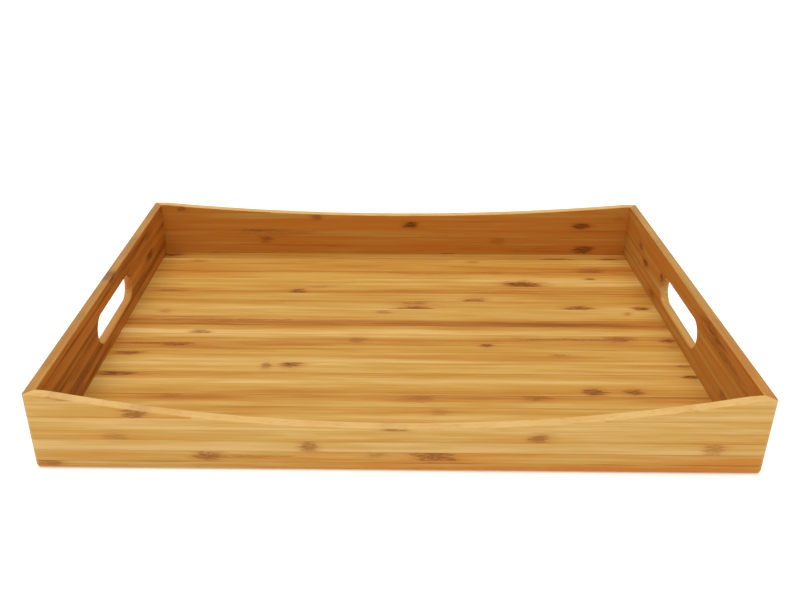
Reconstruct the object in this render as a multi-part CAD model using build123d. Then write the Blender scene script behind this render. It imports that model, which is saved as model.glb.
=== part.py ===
"""Bamboo serving tray: four mitred walls around a floor panel, all glued up from bamboo strips.

X runs along the long side, Y from the front wall to the back wall and Z up.
The origin is the middle of the footprint, on the plane that the tray stands on.
Every wall is one board of strips stacked in Z. The floor is one panel of strips laid side by side in Y.
The panel's edges sit in a groove in the walls, and a hidden key crosses each mitred corner.
"""
import os
from math import sqrt

from build123d import *

# Outside of the tray, in millimetres
length = 460.0
depth = 335.0
height = 55.0
wall = 7.0

# Rounded and eased edges: the upright corners, the feet of the long and of the short walls, and the rims
corner_round = 3.2
long_foot_round = 2.0
short_foot_round = 5.5
rim_round = 0.9

# Strips of each wall: the bottom one is narrower, and the others are all alike.
# Where a dip cuts a strip off at a slant, its tip ends at this thickness and the strip below goes on to the rim.
wall_strips = 7
strip_height = 8.1
bottom_strip = height - (wall_strips - 1) * strip_height
thinnest_tip = 1.2

# Curved dips in the rims of the two long walls, each blended into a short flat at both ends
front_dip = 22.6
back_dip = 9.8
dip_half_chord = 218.0
dip_blend = 60.0

# Hand slots, one through each short wall, with full round ends
slot_length = 90.0
slot_height = 22.2
slot_centre = 28.2
slot_round = 2.0

# Floor panel, and the groove that holds its edges with a small gap left for the wood to move
floor_thickness = 4.0
floor_recess = 1.2
floor_strips = 22
tongue = 2.5
groove = 2.8

# Hidden keys across the mitred corners, clear of the bottom strip and of the rim strip
key_thickness = 1.6
key_width = 6.0
key_inset = 4.4

half_length = length / 2
half_depth = depth / 2


def block(x_span, y_span, z_span):
    """A box between two limits on each axis."""
    spans = (x_span, y_span, z_span)
    sizes = [high - low for low, high in spans]
    middle = [(high + low) / 2 for low, high in spans]
    return Pos(*middle) * Box(*sizes)


def strip_span(number):
    """Lowest and highest Z of one wall strip, counted from 1 at the bottom."""
    high = bottom_strip + (number - 1) * strip_height
    low = max(0, high - strip_height)
    return low, high


def mitred_plan(half_span, half_across):
    """The plan of a wall along X in front of the tray's middle, from its outer face to its mitred inner face."""
    outer, inner = -half_across, wall - half_across
    return make_face(
        Polyline(
            (-half_span, outer), (half_span, outer), (half_span - wall, inner), (wall - half_span, inner), close=True
        )
    )


def dipped_outline(dip):
    """The front of a long wall: a rectangle with a circular dip in its top edge, softened where it starts."""
    left_end = (-dip_half_chord, height)
    right_end = (dip_half_chord, height)
    sides = Polyline(
        right_end, (half_length, height), (half_length, 0), (-half_length, 0), (-half_length, height), left_end
    )
    curve = ThreePointArc(left_end, (0, height - dip), right_end)
    face = make_face(sides + curve)
    starts = [corner for corner in face.vertices() if abs(abs(corner.X) - dip_half_chord) < 0.01]
    return fillet(starts, dip_blend)


def rim_edges(board, lowest):
    """The long edges on both sides of a board's top edge."""
    return [edge for edge in board.edges() if edge.bounding_box().min.Z > lowest and edge.bounding_box().size.Y < 0.01]


def long_wall(dip):
    """A long wall in the front wall's place, from mitre to mitre."""
    outline = Plane.XZ * dipped_outline(dip)
    board = Pos(0, -half_depth, 0) * extrude(outline, amount=-wall)
    board = fillet(rim_edges(board, height - dip - 1), rim_round)
    return board & extrude(mitred_plan(half_length, half_depth), amount=height)


def short_wall():
    """A short wall in the right wall's place, from mitre to mitre, with its hand slot."""
    board = block((-half_depth, half_depth), (-half_length, wall - half_length), (0, height))
    board = fillet(rim_edges(board, height - 1), rim_round)
    slot = Plane.XZ * (Pos(0, slot_centre) * SlotOverall(slot_length, slot_height))
    board -= Pos(0, -half_length, 0) * extrude(slot, amount=-wall)
    mouths = [edge for edge in rim_edges(board, 1) if edge.bounding_box().max.Z < height - 5]
    board = fillet(mouths, slot_round)
    board &= extrude(mitred_plan(half_depth, half_length), amount=height)
    return Rot(0, 0, 90) * board


def foot_outline(width, radius):
    """An upright rectangle whose two bottom corners are rounded."""
    face = Pos(0, height / 2) * Rectangle(width, height)
    return fillet(face.vertices().group_by(Axis.Y)[0], radius)


def outer_form():
    """The tray's outside as one block: eased upright corners, and a round along each bottom edge."""
    plan = extrude(RectangleRounded(length, depth, corner_round), amount=height)
    front_view = extrude(Plane.XZ * foot_outline(length, short_foot_round), amount=half_depth, both=True)
    side_view = extrude(Plane.YZ * foot_outline(depth, long_foot_round), amount=half_length, both=True)
    return plan & front_view & side_view


def corner_keys():
    """Four flat keys, one across each mitre, named by the corner that they hold."""
    low = strip_span(2)[0]
    high = strip_span(wall_strips - 1)[1]
    plate = Box(key_width, key_thickness, high - low)
    keys = {}
    for side, x_side in (("left", -1), ("right", 1)):
        for end, y_side in (("front", -1), ("back", 1)):
            x = x_side * (half_length - key_inset)
            y = y_side * (half_depth - key_inset)
            turn = -45 * x_side * y_side
            keys[f"{end}_{side}_corner_key"] = Pos(x, y, (low + high) / 2) * Rot(0, 0, turn) * plate
    return keys


def wall_boards(keys):
    """The four finished walls, grooved for the floor and slotted for the corner keys, still as whole boards."""
    boards = {
        "front": long_wall(front_dip),
        "back": mirror(long_wall(back_dip), about=Plane.XZ),
        "right": short_wall(),
        "left": mirror(short_wall(), about=Plane.YZ),
    }
    outside = outer_form()
    floor_z = (floor_recess, floor_recess + floor_thickness)
    groove_x = half_length - wall + groove
    groove_y = half_depth - wall + groove
    housing = block((-groove_x, groove_x), (-groove_y, groove_y), floor_z)
    for name, board in boards.items():
        board = (board & outside) - housing
        for key in keys.values():
            board -= key
        boards[name] = board
    return boards


def floor_panel():
    """The floor's strips, numbered from the front wall to the back wall."""
    half_x = half_length - wall + tongue
    half_y = half_depth - wall + tongue
    pitch = 2 * half_y / floor_strips
    floor_z = (floor_recess, floor_recess + floor_thickness)
    strips = {}
    for number in range(1, floor_strips + 1):
        low = -half_y + (number - 1) * pitch
        strips[f"floor_strip_{number:02d}"] = block((-half_x, half_x), (low, low + pitch), floor_z)
    return strips


def dip_fan(number, dip):
    """The space above a wall strip's lower face where the dip leaves none of it, or None if it is unbroken.

    Its two slanted sides point at the middle of the dip's circle, so the strip's tips end square to the rim.
    """
    low = strip_span(number)[0]
    above_lowest = low + thinnest_tip - (height - dip)
    if number > wall_strips or dip == 0 or above_lowest <= 0:
        return None
    radius = (dip_half_chord**2 + dip**2) / (2 * dip)
    centre_z = height - dip + radius
    tip_slope = sqrt(radius**2 - (radius - above_lowest) ** 2) / (radius - above_lowest)
    half_base = (centre_z - low) * tip_slope
    outline = Polyline((0, centre_z), (half_base, low), (-half_base, low), close=True)
    return extrude(Plane.XZ * make_face(outline), amount=half_depth, both=True)


def strip_space(number, dip):
    """The space that one wall strip may fill: its own layer, and what the strip above leaves of the rim."""
    space = block((-half_length, half_length), (-half_depth, half_depth), strip_span(number))
    rim_above = dip_fan(number + 1, dip)
    if rim_above:
        space += rim_above
    missing = dip_fan(number, dip)
    if missing:
        space -= missing
    return space


def wall_strip_solids(boards):
    """Each wall cut into its strips, numbered from the bottom one to the rim."""
    dips = {"front": front_dip, "back": back_dip, "left": 0, "right": 0}
    strips = {}
    for name, board in boards.items():
        for number in range(1, wall_strips + 1):
            strips[f"{name}_wall_strip_{number}"] = board & strip_space(number, dips[name])
    return strips


def main():
    os.makedirs("parts", exist_ok=True)
    keys = corner_keys()
    pieces = {**floor_panel(), **wall_strip_solids(wall_boards(keys)), **keys}
    for name, shape in pieces.items():
        shape.label = name
        export_step(shape, f"parts/{name}.step")


main()
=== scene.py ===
"""Looks and stage for a bamboo serving tray.

Every strip of bamboo in the tray is its own CAD node. Each one gets a finish of its own, because a
glued-up board shows how the tone changes from strip to strip and where each strip's growth nodes fall.
Lengths are in metres, apart from the tables of growth nodes, which are in millimetres.
"""

import math
import random

import bmesh
import bpy
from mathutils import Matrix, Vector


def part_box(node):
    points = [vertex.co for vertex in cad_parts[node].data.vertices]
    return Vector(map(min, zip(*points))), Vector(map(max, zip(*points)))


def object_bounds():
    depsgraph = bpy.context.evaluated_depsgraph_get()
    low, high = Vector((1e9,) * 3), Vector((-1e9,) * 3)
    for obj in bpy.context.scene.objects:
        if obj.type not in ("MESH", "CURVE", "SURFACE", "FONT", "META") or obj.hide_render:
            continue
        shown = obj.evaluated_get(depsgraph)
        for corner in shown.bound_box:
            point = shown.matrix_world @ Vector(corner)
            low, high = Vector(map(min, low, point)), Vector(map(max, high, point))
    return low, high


bl_info = {
    "name": "Bamboo Serving Tray",
    "version": (1, 0, 0),
    "blender": (4, 5, 0),
    "location": "View3D > Sidebar > Tray",
    "description": "Finishes the strips of a bamboo serving tray and sets a plain studio around it",
    "category": "Object",
}

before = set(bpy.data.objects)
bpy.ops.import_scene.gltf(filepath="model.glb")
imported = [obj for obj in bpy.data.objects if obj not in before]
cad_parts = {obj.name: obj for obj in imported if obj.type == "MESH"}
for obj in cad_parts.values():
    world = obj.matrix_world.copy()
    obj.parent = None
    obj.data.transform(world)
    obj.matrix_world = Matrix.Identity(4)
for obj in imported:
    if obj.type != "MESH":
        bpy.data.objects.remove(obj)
cad_low, cad_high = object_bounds()

MM = 0.001
FLOOR_STRIPS = 22
WALL_STRIPS = 7
TRAY_LENGTH = cad_high.x - cad_low.x
TRAY_DEPTH = cad_high.y - cad_low.y

# Axes that run along the grain, across the strip's face and through its thickness
FLOOR_AXES = ("X", "Y", "Z")
LONG_WALL_AXES = ("X", "Z", "Y")
SHORT_WALL_AXES = ("Y", "Z", "X")

# How far each layer of the grain moves a strip's tone
CONTRASTS = {"Drift": 0.26, "Patch": 0.23, "Streak": 0.17, "Fibre": 0.14}

# The coarser layers of the grain: cycles per metre along and across it, detail, roughness and place in
# the pattern
COARSE_GRAIN = {
    "Drift": (2.2, 95.0, 2.0, 0.5, 0.0),
    "Patch": (13.0, 170.0, 3.0, 0.55, 5.0),
    "Streak": (5.0, 340.0, 3.0, 0.6, 11.0),
}

# How far the fibres wander across a strip, and how often along and across it, in cycles per metre
GRAIN_SWAY = 2.4 * MM
SWAY_CYCLES = (9.0, 20.0)

# How far apart the patterns of two strips lie, for their grain and for their growth nodes
GRAIN_SEED_STEP = 7.3
NODE_SEED_STEP = 3.1

# Patterns of the finish, in cycles per metre
GLUE_PATCH_CYCLES = 14.0
TINT_PATCH_CYCLES = 24.0
PORE_CYCLES_ALONG = 70.0
PORE_CYCLES_ACROSS = 900.0

# The glue is a darker umber, and the colour of the faces that look up, which on pale rims is partly sanded
# fibre and partly painted highlight, ends raggedly where a face turns upright
GLUE_SHADE = 0.8
RAGGED_UP_FACE_TINT = 1.4

# The lacquer: its roughness off and on a streak, the strength of its highlights, and the strength of a
# relief in which streaks rise and fibres sink
LACQUER_ROUGHNESS = (0.42, 0.55)
LACQUER_SPECULAR = 0.35
RELIEF_STRENGTH = 0.5
FIBRE_RELIEF = -0.6

# Tone of each strip at its low and high edge, from 0 (pale straw) to 1 (umber on the floor, and
# chestnut on the walls)
FLOOR_TONES = (
    (0.38, 0.34), (0.38, 0.34), (0.32, 0.36), (0.30, 0.40), (0.32, 0.62), (0.48, 0.24),
    (0.24, 0.56), (0.38, 0.28), (0.28, 0.40), (0.36, 0.62), (0.62, 0.32), (0.08, 0.54),
    (0.86, 0.48), (0.24, 0.20), (0.30, 0.50), (0.42, 0.54), (0.64, 0.42), (0.30, 0.30),
    (0.34, 0.58), (0.70, 0.50), (0.42, 0.34), (0.60, 0.36),
)

# Tones of the outsides of the walls, how much darker their insides are painted as painted shade, most on
# the left wall, and how much darker their rims are
FRONT_TONES = (
    (0.45, 0.36), (0.46, 0.33), (0.09, 0.18), (0.36, 0.26), (0.12, 0.22), (0.28, 0.22), (0.10, 0.16),
)
BACK_TONES = (
    (0.33, 0.34), (0.31, 0.30), (0.29, 0.28), (0.28, 0.31), (0.28, 0.26), (0.25, 0.28), (0.26, 0.24),
)
# The left wall's tones are set darker and the right wall's lighter, partly as the bamboo's own tone and
# partly as painted shade and painted light for light that falls more from the left
LEFT_TONES_AND_SHADE = (
    (0.33, 0.32), (0.31, 0.29), (0.30, 0.32), (0.34, 0.30), (0.30, 0.33), (0.29, 0.28), (0.30, 0.32),
)
RIGHT_TONES_AND_LIGHT = (
    (0.22, 0.21), (0.19, 0.20), (0.18, 0.16), (0.19, 0.17), (0.19, 0.24), (0.29, 0.32), (0.27, 0.24),
)
# Painted shade on the insides of the walls, strongest on the left wall
INSIDE_PAINTED_SHADE = {"front": 0.38, "back": 0.38, "left": 0.62, "right": 0.38}
RIM_DARKER = 0.10

# Growth nodes of a strip, by its number: place along it, place across it from its middle, half length,
# half width and darkness
FLOOR_MARKS = {
    2: [(-40, 0, 9, 4, 0.3)],
    3: [(130, 2, 8, 4, 0.3)],
    5: [(101, 7, 10, 4, 0.6), (16, 5, 12, 5, 0.4), (-161, 6, 8, 5, 0.25)],
    6: [(142, -1, 8, 4, 0.8), (171, -1, 7, 4, 0.75)],
    7: [(-206, 5, 13, 3, 0.9), (219, 6, 6, 3, 0.8)],
    8: [(-98, 3, 4, 5, 0.45), (-79, 5, 9, 5, 0.7), (217, 6, 5, 2, 0.5)],
    9: [(-209, 6, 11, 3, 0.85), (127, 7, 7, 4, 0.35)],
    10: [(-173, 5, 12, 3, 0.85), (-195, 6, 26, 1.5, 0.6), (72, 6, 5, 3, 0.85), (217, 4, 5, 2, 0.3)],
    11: [(-31, -2, 7, 4, 0.4), (179, 2, 10, 5, 0.6), (150, 1, 60, 2, 0.45), (217, 0, 7, 3, 0.8)],
    12: [(-158, -6, 7, 4, 0.5)],
    13: [(-150, 1, 80, 2, 0.4)],
    15: [(17, -7, 16, 5, 0.7), (17, 4, 15, 4, 0.4), (157, -4, 12, 3, 0.75), (211, -4, 7, 3, 0.8)],
    16: [(69, -7, 10, 6, 0.7)],
    17: [(-86, -5, 8, 5, 0.7), (-66, 5, 12, 1.5, 0.35), (-200, -4, 18, 3, 0.4)],
    18: [(114, -4, 17, 7, 1.0)],
    19: [(179, -7, 5, 4, 0.6), (60, 5, 80, 1, 0.35)],
    20: [(184, -6, 15, 9, 0.5)],
    22: [(156, -6, 13, 2, 0.85), (207, -7, 9, 3, 0.8), (-216, 0, 11, 4, 0.8)],
}
FRONT_MARKS = {
    1: [(-220, 1.5, 8, 2.5, 0.42)],
    2: [(-119, 0.5, 9, 4, 0.56), (-95, 0, 30, 1.5, 0.24), (23, 1.5, 13, 5, 0.56), (-13, 2.5, 6, 4, 0.24)],
    3: [(-55, 0.5, 5, 5, 0.45), (197, 0.5, 6, 4.5, 0.32)],
    4: [(-176, -2.5, 10, 3.5, 0.24), (88, -0.5, 7, 4, 0.49)],
    5: [(-3, -3.5, 8, 3, 0.42)],
    6: [(-162, -1, 8, 4, 0.56), (107, -3, 6, 4, 0.35)],
    7: [(-198, 3, 14, 3, 0.39)],
}
BACK_MARKS = {
    2: [(184, -0.5, 10, 4, 0.8)],
    4: [(-133, 3, 20, 1.5, 0.4), (-120, 0, 40, 3, 0.2)],
    5: [(16, 0.5, 7, 4, 0.85), (179, 0.5, 8, 4, 0.85)],
}
LEFT_MARKS = {
    2: [(-108, 1, 20, 4, 0.45)],
    3: [(-92, 0, 26, 4, 0.4)],
    4: [(103, 1, 12, 4, 0.9), (-98, 1, 14, 3, 0.3)],
    5: [(-62, 2, 24, 3, 0.3)],
    6: [(108, 2, 10, 3, 0.4)],
    7: [(2, 4, 8, 4, 0.8)],
}
RIGHT_MARKS = {
    4: [(93, 2, 8, 4, 0.9)],
    5: [(47, 2, 4, 4, 0.95), (112, 1, 7, 4, 0.5)],
    6: [(-92, 1, 48, 3, 0.4)],
    7: [(-72, -3, 26, 4, 0.6)],
}

# Joints that show as a dark line, by the number of the strip below the line, or in front of it on the
# floor
FLOOR_DARK_JOINTS = {
    2: 0.3, 4: 0.3, 5: 0.8, 7: 0.6, 12: 0.8, 15: 0.4, 17: 0.4, 19: 0.6, 21: 0.8, 22: 0.8,
}
FRONT_DARK_JOINTS = {1: 0.6, 2: 0.3, 3: 0.2, 5: 0.2}
BACK_DARK_JOINTS = {2: 0.35, 3: 0.2, 5: 0.2}
SIDE_DARK_JOINTS = {2: 0.25, 5: 0.2}

# Tones, growth nodes, dark joints and the seed of the strips' patterns
WALLS = {
    "front": (FRONT_TONES, FRONT_MARKS, FRONT_DARK_JOINTS, 40),
    "back": (BACK_TONES, BACK_MARKS, BACK_DARK_JOINTS, 50),
    "left": (LEFT_TONES_AND_SHADE, LEFT_MARKS, SIDE_DARK_JOINTS, 60),
    "right": (RIGHT_TONES_AND_LIGHT, RIGHT_MARKS, SIDE_DARK_JOINTS, 70),
}

# How strongly the faces that look up are coloured: the long rims and the edges of the slots take pale
# straw, partly as sanded, cut fibres and partly as a painted highlight of the light from above, and the
# short rims take a darker colour
LONG_RIM_SANDED_AND_LIT = 0.92
SLOT_SANDED_AND_LIT = 0.35
SHORT_RIM_DARKENED = {"left": 0.75, "right": 0.6}

KEY_TONES = (0.3, 0.3)
KEY_SEED = 80

# The studio: half width of its floor, and how far that lies below the tray so that the two never share
# a plane
STUDIO_HALF_WIDTH = 60
STUDIO_FLOOR_GAP = 0.4 * MM
PAPER_COLOR = (0.9, 0.9, 0.9, 1)
PAPER_ROUGHNESS = 0.8
WHITE = (1, 1, 1, 1)

# The floor glows more with distance, and the sky glows less with height: where each change starts and
# ends, and the strengths there
PAPER_GLOW = (0.3, 1.6, 0.28, 0.8)
SKY_GLOW = (0.04, 0.3, 1.05, 0.38)

# The softboxes: name, width, place and power in watts
SOFTBOXES = (
    ("top_softbox", 2.2, (-0.12, 0.1, 1.9), 46.0),
    ("front_softbox", 1.6, (0.0, -2.2, 1.5), 12.2),
)

# The camera looks down at the tray from in front of it, turned a little to the left
CAMERA_PLACE = (-0.00697, -0.59695, 0.3406)
CAMERA_DOWN = math.radians(26.74)
CAMERA_LEFT = math.radians(0.83)
CAMERA_LENS = 38.1
CAMERA_SENSOR = 36
CAMERA_SHIFT = 0.03


def color_setting(name, description, default):
    return bpy.props.FloatVectorProperty(
        name=name, description=description, default=default, size=3, min=0, max=1, subtype="COLOR"
    )


class TraySettings(bpy.types.PropertyGroup):
    """The colours and sizes of the finish that a user would change."""

    # Pale straw is also laid on the faces that look up, partly as sanded fibre and partly as painted
    # highlight
    pale_straw: color_setting(
        "Pale straw", "Colour of the lightest bamboo, and of sanded edges", (0.59, 0.372, 0.132)
    )
    straw: color_setting("Straw", "Colour of light bamboo", (0.50, 0.284, 0.064))
    honey: color_setting("Honey", "Colour of most of the floor", (0.44, 0.208, 0.032))
    toffee: color_setting("Toffee", "Colour of the darker strips of the floor", (0.37, 0.128, 0.018))
    umber: color_setting("Umber", "Colour of the darkest streaks of the floor", (0.22, 0.062, 0.008))
    # The walls' insides reach amber and chestnut partly through the painted shade on their tone
    russet: color_setting("Russet", "Colour of the lighter inside of the walls", (0.50, 0.188, 0.027))
    amber: color_setting("Amber", "Colour of most of the walls' inside", (0.49, 0.155, 0.018))
    chestnut: color_setting("Chestnut", "Colour of the darkest streaks of the walls", (0.225, 0.062, 0.003))
    # A darker colour that the short rims take on the faces that look up
    dark_rim: color_setting("Handled rim", "Colour of the rims that hands darken", (0.25, 0.118, 0.036))
    node_brown: color_setting("Node brown", "Colour of the growth nodes", (0.15, 0.044, 0.005))
    node_blush: color_setting("Node blush", "Colour around the growth nodes", (0.40, 0.125, 0.024))
    fibre_width: bpy.props.FloatProperty(
        name="Fibre width", description="Width of one fibre of the bamboo", default=0.8 * MM,
        min=0.1 * MM, max=3 * MM, unit="LENGTH",
    )
    fibre_length: bpy.props.FloatProperty(
        name="Fibre length", description="Length over which a fibre keeps its tone", default=85 * MM,
        min=5 * MM, max=500 * MM, unit="LENGTH",
    )
    joint_width: bpy.props.FloatProperty(
        name="Joint width", description="Width of the dark line beside a glued joint", default=0.9 * MM,
        min=0.1 * MM, max=3 * MM, unit="LENGTH",
    )
    relief: bpy.props.FloatProperty(
        name="Relief", description="Height of the fibres in the lacquered surface", default=0.04 * MM,
        min=0, max=0.5 * MM, unit="LENGTH",
    )
    lacquer: color_setting("Lacquer", "Tint of the highlights in the thin satin lacquer", (1.0, 0.72, 0.30))


class Tree:
    """Short calls that add nodes to one shader tree and link them."""

    def __init__(self, tree):
        self.nodes = tree.nodes
        self.links = tree.links

    def put(self, socket, value):
        """Links a socket, or sets the value, of a node's input."""
        if isinstance(value, bpy.types.NodeSocket):
            self.links.new(value, socket)
        else:
            socket.default_value = value

    def add(self, kind, inputs=(), **settings):
        node = self.nodes.new(kind)
        for name, value in settings.items():
            setattr(node, name, value)
        for name, value in dict(inputs).items():
            self.put(node.inputs[name], value)
        return node

    def math(self, operation, first, second=0.0, clamp=False):
        node = self.add("ShaderNodeMath", {0: first, 1: second}, operation=operation, use_clamp=clamp)
        return node.outputs[0]

    def times(self, first, second, clamp=False):
        return self.math("MULTIPLY", first, second, clamp)

    def plus(self, first, second):
        return self.math("ADD", first, second)

    def minus(self, first, second):
        return self.math("SUBTRACT", first, second)

    def range(self, value, start, end, low=0.0, high=1.0):
        """Smoothly turns a value's run from start to end into one from low to high."""
        inputs = {"Value": value, "From Min": start, "From Max": end, "To Min": low, "To Max": high}
        return self.add("ShaderNodeMapRange", inputs, interpolation_type="SMOOTHSTEP").outputs["Result"]

    def join(self, x, y, z):
        return self.add("ShaderNodeCombineXYZ", {"X": x, "Y": y, "Z": z}).outputs["Vector"]

    def noise(self, vector, detail=2.0, roughness=0.5):
        inputs = {"Vector": vector, "Scale": 1.0, "Detail": detail, "Roughness": roughness}
        return self.add("ShaderNodeTexNoise", inputs).outputs["Fac"]

    def mix(self, factor, first, second):
        node = self.add("ShaderNodeMix", {0: factor}, data_type="RGBA")
        self.put(node.inputs[6], first)
        self.put(node.inputs[7], second)
        return node.outputs[2]


def new_group(name, inputs, outputs):
    """An empty shader group with float sockets of these names."""
    group = bpy.data.node_groups.new(name, "ShaderNodeTree")
    for socket in inputs:
        group.interface.new_socket(socket, in_out="INPUT", socket_type="NodeSocketFloat")
    for socket in outputs:
        group.interface.new_socket(socket, in_out="OUTPUT", socket_type="NodeSocketFloat")
    tree = Tree(group)
    source = group.nodes.new("NodeGroupInput").outputs
    return group, tree, source, group.nodes.new("NodeGroupOutput")


def grain_group(settings):
    """Bamboo grain, from coarse to fine.

    Drift is the slow change along a strip, Patch its cloudy blotches, Streak its bands and Fibre its
    finest lines.
    """
    group, tree, source, result = new_group(
        "bamboo_grain", ("Along", "Across", "Through", "Seed"), ("Drift", "Patch", "Streak", "Fibre")
    )
    along, across, through, seed = (source[n] for n in ("Along", "Across", "Through", "Seed"))
    sway_along, sway_across = SWAY_CYCLES
    spot = tree.join(tree.times(along, sway_along), tree.times(across, sway_across), seed)
    across = tree.plus(across, tree.times(tree.noise(spot, detail=1.0), GRAIN_SWAY))

    def layer(per_along, per_across, detail, roughness, shift):
        x = tree.times(along, per_along)
        y = tree.times(across, per_across)
        z = tree.plus(tree.times(through, per_across), tree.plus(seed, shift))
        return tree.noise(tree.join(x, y, z), detail, roughness)

    for name, values in COARSE_GRAIN.items():
        tree.put(result.inputs[name], tree.range(layer(*values), 0.3, 0.7))
    fibre = layer(
        1 / settings.fibre_length, 1 / settings.fibre_width, detail=3.0, roughness=0.6, shift=23.0
    )
    tree.put(result.inputs["Fibre"], tree.range(fibre, 0.32, 0.68))
    return group


def mark_group():
    """One growth node: short dark fibres in an oval, with a soft blush around them."""
    group, tree, source, result = new_group(
        "bamboo_node",
        ("Along", "Across", "Place Along", "Place Across", "Half Length", "Half Width", "Darkness", "Seed"),
        ("Dark", "Blush"),
    )
    along, across, seed = (source[n] for n in ("Along", "Across", "Seed"))
    run = tree.math("DIVIDE", tree.minus(along, source["Place Along"]), source["Half Length"])
    rise = tree.math("DIVIDE", tree.minus(across, source["Place Across"]), source["Half Width"])
    distance = tree.math("SQRT", tree.plus(tree.times(run, run), tree.times(rise, rise)))

    def speckle(per_along, per_across, shift):
        x = tree.times(along, per_along)
        y = tree.times(across, per_across)
        return tree.noise(tree.join(x, y, tree.plus(seed, shift)), detail=3.0, roughness=0.65)

    ragged = tree.times(tree.minus(speckle(70.0, 700.0, shift=0.0), 0.5), 2.8)
    reach = tree.plus(distance, ragged)
    core = tree.range(reach, 1.2, 0.5)
    fibres = speckle(240.0, 1300.0, shift=5.0)
    dark = tree.times(core, tree.range(fibres, 0.36, 0.54, low=0.15, high=1.0))
    blush = tree.range(reach, 2.1, 0.3)
    dark_strength = tree.times(source["Darkness"], 1.3)
    tree.put(result.inputs["Dark"], tree.times(dark, dark_strength, clamp=True))
    tree.put(result.inputs["Blush"], tree.times(blush, source["Darkness"], clamp=True))
    return group


def shared_group(name, build):
    """The node group of that name, built the first time that it is asked for."""
    return bpy.data.node_groups.get(name) or build()


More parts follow.
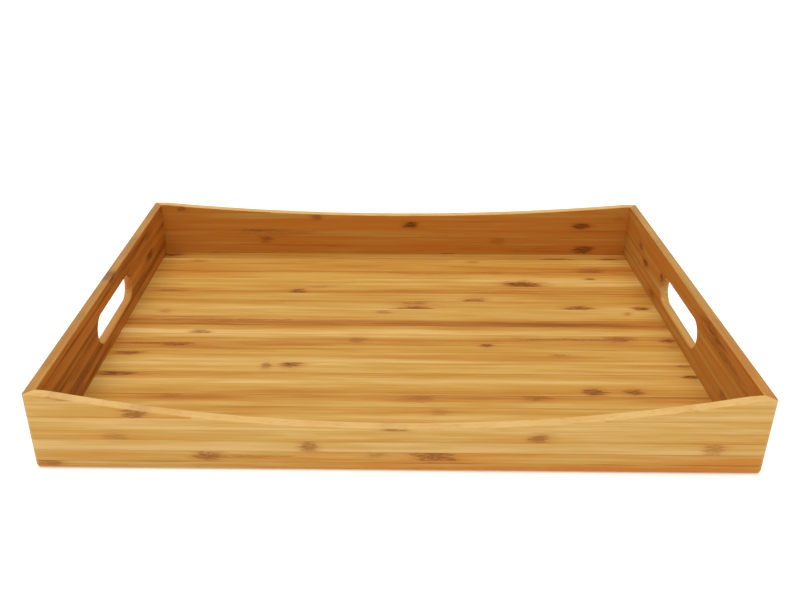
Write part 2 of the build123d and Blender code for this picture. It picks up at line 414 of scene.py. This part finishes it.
class Strip:
    """The shader of one strip, with the places and directions that its finish reads."""

    def __init__(self, settings, node, axes, seed):
        low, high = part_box(node)
        self.settings = settings
        self.seed = seed
        self.material = bpy.data.materials.new(f"{node}_finish")
        self.material.use_nodes = True
        self.shader = self.material.node_tree.nodes["Principled BSDF"]
        self.tree = Tree(self.material.node_tree)
        place = self.tree.add("ShaderNodeTexCoord").outputs["Object"]
        parts = self.tree.add("ShaderNodeSeparateXYZ", {0: place}).outputs
        self.along, self.across, self.through = (parts[axis] for axis in axes)
        self.edges = low["XYZ".index(axes[1])], high["XYZ".index(axes[1])]
        self.grain = self.add_grain().outputs

    def add_grain(self):
        """The shared grain, with this strip's own seed."""
        grain_tree = shared_group("bamboo_grain", lambda: grain_group(self.settings))
        grain = self.tree.add("ShaderNodeGroup", node_tree=grain_tree)
        values = (self.along, self.across, self.through, GRAIN_SEED_STEP * self.seed)
        for socket, value in zip(grain.inputs, values):
            self.tree.put(socket, value)
        return grain

    def add_facing(self):
        """Which way the surface faces, as X, Y and Z from -1 to 1."""
        normal = self.tree.add("ShaderNodeNewGeometry").outputs["Normal"]
        return self.tree.add("ShaderNodeSeparateXYZ", {0: normal}).outputs

    def add_tone(self, tones, inner):
        """The strip's tone, from its edges and grain, and on a wall's inside the painted shade that makes
        it darker.
        """
        tree = self.tree
        base_tones = [tone - sum(CONTRASTS.values()) / 2 for tone in tones]
        tone = tree.range(self.across, *self.edges, *base_tones)
        for layer, contrast in CONTRASTS.items():
            tone = tree.plus(tone, tree.times(self.grain[layer], contrast))
        if inner:
            outer_face, inner_face, darker = inner
            up = self.add_facing()["Z"]
            upright = tree.range(up, 0.9, 0.2)
            # Painted shade: upright faces grow darker from the wall's outer face to its inner face
            painted_inside_shade = tree.range(self.through, outer_face, inner_face, high=darker - RIM_DARKER)
            tone = tree.plus(tone, tree.times(painted_inside_shade, upright))
            tone = tree.plus(tone, tree.range(up, 0.2, 0.9, high=RIM_DARKER))
        return tone

    def add_color(self, tone, dark_colors):
        """The colour of a tone, from the palest bamboo to the darkest."""
        ramp = self.tree.add("ShaderNodeValToRGB", {"Fac": tone})
        colors = (self.settings.pale_straw, self.settings.straw, *dark_colors)
        while len(ramp.color_ramp.elements) < len(colors):
            ramp.color_ramp.elements.new(0.5)
        for i, (stop, color) in enumerate(zip(ramp.color_ramp.elements, colors)):
            stop.position = i / (len(colors) - 1)
            stop.color = (*color, 1)
        return ramp.outputs["Color"]

    def add_glue_lines(self, color, joints):
        """Draws dark, patchy lines along the strip's low and high edges."""
        tree = self.tree
        glue = (*[GLUE_SHADE * channel for channel in self.settings.umber], 1)
        for darkness, edge, inward in zip(joints, self.edges, (1, -1)):
            if darkness:
                beside = tree.range(self.across, edge + inward * self.settings.joint_width, edge)
                place = tree.times(self.along, GLUE_PATCH_CYCLES)
                spot = tree.join(place, GRAIN_SEED_STEP * self.seed + inward, 0.0)
                patches = tree.noise(spot, detail=3.0, roughness=0.6)
                line = tree.times(beside, tree.range(patches, 0.35, 0.6, 0.2 * darkness, darkness))
                color = tree.mix(line, color, glue)
        return color

    def add_growth_nodes(self, color, marks):
        """Draws the strip's growth nodes, each a blush with dark fibres in it."""
        tree = self.tree
        middle = sum(self.edges) / 2
        for number, (where, up, half_length, half_width, darkness) in enumerate(marks):
            mark = tree.add("ShaderNodeGroup", node_tree=shared_group("bamboo_node", mark_group))
            oval = (where * MM, middle + up * MM, half_length * MM, half_width * MM)
            values = (self.along, self.across, *oval, darkness, NODE_SEED_STEP * self.seed + number)
            for socket, value in zip(mark.inputs, values):
                tree.put(socket, value)
            color = tree.mix(mark.outputs["Blush"], color, (*self.settings.node_blush, 1))
            color = tree.mix(mark.outputs["Dark"], color, (*self.settings.node_brown, 1))
        return color

    def add_up_face_tint(self, color, strength, up_face_color):
        """Colours the faces that look up, where pale straw is partly sanded, cut fibre and partly a painted
        highlight, opens their pores and rubs the upright corners pale.
        """
        tree = self.tree
        facing = self.add_facing()
        up = facing["Z"]
        pores = tree.noise(
            tree.join(
                tree.times(self.along, PORE_CYCLES_ALONG),
                tree.times(self.across, PORE_CYCLES_ACROSS),
                tree.times(self.through, PORE_CYCLES_ACROSS),
            ),
            detail=3.0,
            roughness=0.6,
        )
        tint_patches = tree.noise(tree.join(tree.times(self.along, TINT_PATCH_CYCLES), 4.0, 0.0))
        patchy_tint = tree.range(tint_patches, 0.35, 0.65, 0.6 * strength, strength)
        ragged_up = tree.plus(up, tree.times(tree.minus(pores, 0.5), RAGGED_UP_FACE_TINT))
        # Pale on the faces that look up: partly sanded, cut fibre and partly a painted highlight of the
        # light from above
        up_face_tint = tree.times(tree.range(ragged_up, 0.3, 1.0), patchy_tint)
        color = tree.mix(up_face_tint, color, (*up_face_color, 1))
        open_pores = tree.times(tree.range(pores, 0.56, 0.72, high=0.5), tree.range(up, 0.4, 0.8))
        color = tree.mix(open_pores, color, (*self.settings.node_blush, 1))
        corner = tree.math("ABSOLUTE", tree.times(facing["X"], facing["Y"]))
        rubbed = tree.range(corner, 0.1, 0.5, high=0.2)
        return tree.mix(rubbed, color, (*self.settings.pale_straw, 1))

    def add_lacquer(self, color):
        """Gives the shader its colour, satin gloss and the fine relief of the fibres."""
        tree = self.tree
        inputs = self.shader.inputs
        streak, fibre = self.grain["Streak"], self.grain["Fibre"]
        tree.put(inputs["Base Color"], color)
        tree.put(inputs["Roughness"], tree.range(streak, 0.0, 1.0, *LACQUER_ROUGHNESS))
        inputs["Specular IOR Level"].default_value = LACQUER_SPECULAR
        inputs["Specular Tint"].default_value = (*self.settings.lacquer, 1)
        height = tree.plus(streak, tree.times(fibre, FIBRE_RELIEF))
        relief = {"Strength": RELIEF_STRENGTH, "Distance": self.settings.relief, "Height": height}
        bump = tree.add("ShaderNodeBump", relief)
        tree.put(inputs["Normal"], bump.outputs["Normal"])


def bamboo(
    settings, node, axes, dark_colors, tones, seed, marks=(), joints=(0.0, 0.0), inner=None, up_face_tint=None
):
    """Finishes one strip, on its CAD node.

    dark_colors are those of tones 0.5, 0.75 and 1. tones are those of its low and high edges, and joints
    the darknesses of the lines along them. marks are its growth nodes.
    inner is where a wall's outer and inner faces lie, and how much darker its inside is painted, as painted
    shade.
    sanded is how strong a colour the faces that look up take, where a rim or a hand slot is cut through
    the grain, and that colour. A pale colour there is partly the cut fibres and partly a painted highlight
    of the light from above.
    """
    strip = Strip(settings, node, axes, seed)
    color = strip.add_color(strip.add_tone(tones, inner), dark_colors)
    color = strip.add_glue_lines(color, joints)
    color = strip.add_growth_nodes(color, marks)
    if up_face_tint:
        color = strip.add_up_face_tint(color, *up_face_tint)
    strip.add_lacquer(color)
    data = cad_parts[node].data
    data.materials.clear()
    data.materials.append(strip.material)


def scattered_marks(seed, span):
    """Faint growth nodes, a hand's breadth or two apart, for a strip that has none in the tables."""
    draw = random.Random(seed)
    marks = []
    where = -span / 2 + draw.uniform(20, 160)
    while where < span / 2 - 10:
        up, half_length, half_width = draw.uniform(-2, 2), draw.uniform(4, 9), draw.uniform(2, 4)
        marks.append((where, up, half_length, half_width, draw.uniform(0.2, 0.45)))
        where += draw.uniform(150, 290)
    return marks


def joint_pair(dark_joints, number):
    """Darkness of the lines at a strip's low and high edges, shared with its two neighbours."""
    return dark_joints.get(number - 1, 0.0), dark_joints.get(number, 0.0)


def finish_wall(settings, name, axes, span, slot_tint, rim_tint):
    """Finishes the seven strips of one wall, of which the top two have their own colour on the faces that
    look up.
    """
    tones, marks, dark_joints, seed = WALLS[name]
    low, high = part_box(f"{name}_wall_strip_2")
    through = "XYZ".index(axes[2])
    faces = (low[through], high[through])
    if name in ("back", "right"):
        faces = faces[::-1]
    for number in range(1, WALL_STRIPS + 1):
        strip_seed = seed + number
        bamboo(
            settings,
            f"{name}_wall_strip_{number}",
            axes,
            (settings.russet, settings.amber, settings.chestnut),
            tones[number - 1],
            strip_seed,
            marks=marks.get(number) or scattered_marks(strip_seed, span),
            joints=joint_pair(dark_joints, number),
            inner=(*faces, INSIDE_PAINTED_SHADE[name]),
            up_face_tint=slot_tint if number < WALL_STRIPS - 1 else rim_tint,
        )


def stage_floor(scene):
    """A wide sheet of white paper under the tray, which glows more where the softboxes don't reach."""
    shape = bmesh.new()
    bmesh.ops.create_grid(shape, x_segments=1, y_segments=1, size=STUDIO_HALF_WIDTH)
    mesh = bpy.data.meshes.new("studio_floor")
    shape.to_mesh(mesh)
    shape.free()
    floor = bpy.data.objects.new("studio_floor", mesh)
    floor.location.z = -STUDIO_FLOOR_GAP
    scene.collection.objects.link(floor)

    paper = bpy.data.materials.new("white_paper")
    paper.use_nodes = True
    surface = paper.node_tree.nodes["Principled BSDF"].inputs
    surface["Base Color"].default_value = PAPER_COLOR
    surface["Roughness"].default_value = PAPER_ROUGHNESS
    surface["Emission Color"].default_value = WHITE
    tree = Tree(paper.node_tree)
    spot = tree.add("ShaderNodeTexCoord").outputs["Object"]
    distance = tree.add("ShaderNodeVectorMath", {0: spot}, operation="LENGTH").outputs["Value"]
    tree.put(surface["Emission Strength"], tree.range(distance, *PAPER_GLOW))
    mesh.materials.append(paper)


def stage_world(scene):
    """A white sky, brightest at the horizon."""
    world = bpy.data.worlds.new("studio_world")
    world.use_nodes = True
    tree = Tree(world.node_tree)
    heading = tree.add("ShaderNodeTexCoord").outputs["Generated"]
    height = tree.add("ShaderNodeSeparateXYZ", {0: heading}).outputs["Z"]
    sky = world.node_tree.nodes["Background"]
    sky.inputs["Color"].default_value = WHITE
    tree.put(sky.inputs["Strength"], tree.range(height, *SKY_GLOW))
    scene.world = world


def stage_softboxes(scene):
    """Square lamps that face the middle of the tray."""
    for name, size, place, power in SOFTBOXES:
        lamp = bpy.data.lights.new(name, "AREA")
        lamp.size = size
        lamp.energy = power
        holder = bpy.data.objects.new(name, lamp)
        holder.location = place
        direction = holder.location.copy()
        direction.negate()
        holder.rotation_euler = direction.to_track_quat("-Z", "Y").to_euler()
        scene.collection.objects.link(holder)


def stage_camera(scene):
    """The camera, in front of the tray and above it."""
    lens = bpy.data.cameras.new("tray_camera")
    lens.lens = CAMERA_LENS
    lens.sensor_width = CAMERA_SENSOR
    lens.shift_x = CAMERA_SHIFT
    camera = bpy.data.objects.new("tray_camera", lens)
    camera.location = CAMERA_PLACE
    camera.rotation_euler = (math.pi / 2 - CAMERA_DOWN, 0, CAMERA_LEFT)
    scene.collection.objects.link(camera)
    scene.camera = camera


class TRAY_OT_floor(bpy.types.Operator):
    """Finish the strips of the floor panel"""

    bl_idname = "tray.floor"
    bl_label = "Floor strips"

    def execute(self, context):
        settings = context.scene.tray
        for number in range(1, FLOOR_STRIPS + 1):
            bamboo(
                settings,
                f"floor_strip_{number:02d}",
                FLOOR_AXES,
                (settings.honey, settings.toffee, settings.umber),
                FLOOR_TONES[number - 1],
                number,
                marks=FLOOR_MARKS.get(number) or scattered_marks(number, TRAY_LENGTH / MM),
                joints=joint_pair(FLOOR_DARK_JOINTS, number),
            )
        return {"FINISHED"}


class TRAY_OT_long_walls(bpy.types.Operator):
    """Finish the strips of the front and back walls"""

    bl_idname = "tray.long_walls"
    bl_label = "Front and back walls"

    def execute(self, context):
        settings = context.scene.tray
        # The long rims' pale straw is partly sanding and partly painted highlight
        up_face_tint = (LONG_RIM_SANDED_AND_LIT, settings.pale_straw)
        for name in ("front", "back"):
            finish_wall(settings, name, LONG_WALL_AXES, TRAY_LENGTH / MM, up_face_tint, up_face_tint)
        return {"FINISHED"}


class TRAY_OT_short_walls(bpy.types.Operator):
    """Finish the strips of the left and right walls"""

    bl_idname = "tray.short_walls"
    bl_label = "Left and right walls"

    def execute(self, context):
        settings = context.scene.tray
        slot_tint = (SLOT_SANDED_AND_LIT, settings.pale_straw)
        # The short rims take a darker colour on the faces that look up
        for name, strength in SHORT_RIM_DARKENED.items():
            rim_darkened = (strength, settings.dark_rim)
            finish_wall(settings, name, SHORT_WALL_AXES, TRAY_DEPTH / MM, slot_tint, rim_darkened)
        return {"FINISHED"}


class TRAY_OT_corner_keys(bpy.types.Operator):
    """Finish the four keys inside the mitred corners"""

    bl_idname = "tray.corner_keys"
    bl_label = "Corner keys"

    def execute(self, context):
        settings = context.scene.tray
        dark_colors = (settings.russet, settings.amber, settings.chestnut)
        for number, corner in enumerate(("front_left", "front_right", "back_left", "back_right")):
            node = f"{corner}_corner_key"
            bamboo(settings, node, LONG_WALL_AXES, dark_colors, KEY_TONES, KEY_SEED + number)
        return {"FINISHED"}


class TRAY_OT_stage(bpy.types.Operator):
    """Set a pale floor, soft light and the camera around the tray"""

    bl_idname = "tray.stage"
    bl_label = "Studio stage"

    def execute(self, context):
        scene = context.scene
        stage_floor(scene)
        stage_world(scene)
        stage_softboxes(scene)
        stage_camera(scene)
        scene.view_settings.view_transform = "Standard"
        return {"FINISHED"}


class TRAY_PT_panel(bpy.types.Panel):
    """Lists the tray's settings and its pieces"""

    bl_idname = "TRAY_PT_panel"
    bl_label = "Serving tray"
    bl_space_type = "VIEW_3D"
    bl_region_type = "UI"
    bl_category = "Tray"

    def draw(self, context):
        for name in TraySettings.__annotations__:
            self.layout.prop(context.scene.tray, name)
        for operator in PIECES:
            self.layout.operator(operator.bl_idname)


PIECES = (TRAY_OT_floor, TRAY_OT_long_walls, TRAY_OT_short_walls, TRAY_OT_corner_keys, TRAY_OT_stage)
CLASSES = (TraySettings, *PIECES, TRAY_PT_panel)


def register():
    for each in CLASSES:
        bpy.utils.register_class(each)
    bpy.types.Scene.tray = bpy.props.PointerProperty(type=TraySettings)


def unregister():
    del bpy.types.Scene.tray
    for each in reversed(CLASSES):
        bpy.utils.unregister_class(each)


def main():
    register()
    bpy.ops.tray.floor()
    bpy.ops.tray.long_walls()
    bpy.ops.tray.short_walls()
    bpy.ops.tray.corner_keys()
    bpy.ops.tray.stage()


if __name__ == "__main__":
    main()
